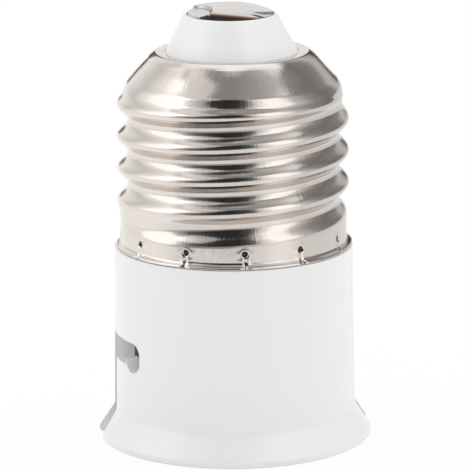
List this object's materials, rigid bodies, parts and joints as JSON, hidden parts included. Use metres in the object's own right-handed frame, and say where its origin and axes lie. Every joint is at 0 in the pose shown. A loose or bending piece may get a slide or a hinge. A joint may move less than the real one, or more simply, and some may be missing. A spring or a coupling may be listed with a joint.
{
  "type": "lamp socket adapter",
  "caption": "Adapter that screws into a 27 mm lamp holder and takes a 22 mm bayonet lamp cap, with sprung contact plungers.",
  "frame": {"origin": "centre of the socket's mouth rim, on the plane that it stands on", "axes": "+Z along the common axis of socket and screw cap, from the mouth up to the centre contact; +X points away from the middle of one bayonet slot's entry, at azimuth 185 degrees"},
  "size_m": [0.031, 0.031, 0.0488],
  "materials": {
    "white_plastic": "smooth moulded, semi-gloss",
    "nickel_plate": "bright nickel plate on rolled sheet",
    "contact_plate": "satin nickel plate on pressed sheet",
    "carrier_plastic": "smooth moulded",
    "screw_steel": "zinc plated",
    "plain_brass": "turned and pressed",
    "spring_steel": "drawn wire",
    "copper": "bare copper",
    "live_insulation": "extruded",
    "neutral_insulation": "extruded",
    "solder": "bright, flowed"
  },
  "bodies": {
    "housing": {"housing": "white_plastic", "screw_shell": "nickel_plate", "centre_contact": "contact_plate", "contact_carrier": "carrier_plastic", "carrier_screw_a": "screw_steel", "carrier_screw_b": "screw_steel", "plunger_spring_a": "spring_steel", "plunger_spring_b": "spring_steel", "terminal_a": "plain_brass", "terminal_b": "plain_brass", "live_wire_core": "copper", "live_wire_sleeve": "live_insulation", "neutral_wire_core": "copper", "neutral_wire_sleeve": "neutral_insulation", "live_tag_solder": "solder", "neutral_tag_solder": "solder", "contact_solder": "solder", "shell_solder": "solder"},
    "plunger_a": {"plunger_a": "plain_brass"},
    "plunger_b": {"plunger_b": "plain_brass"}
  },
  "joints": [
    {"name": "plunger_a_slide", "type": "slide", "parent": "housing", "child": "plunger_a", "axis": [0, 0, 1], "range_m": [0, 0.0039], "stiffness_N_per_m": 800, "springref_m": -0.004, "deforming": ["plunger_spring_a"]},
    {"name": "plunger_b_slide", "type": "slide", "parent": "housing", "child": "plunger_b", "axis": [0, 0, 1], "range_m": [0, 0.0039], "stiffness_N_per_m": 800, "springref_m": -0.004, "deforming": ["plunger_spring_b"]}
  ]
}
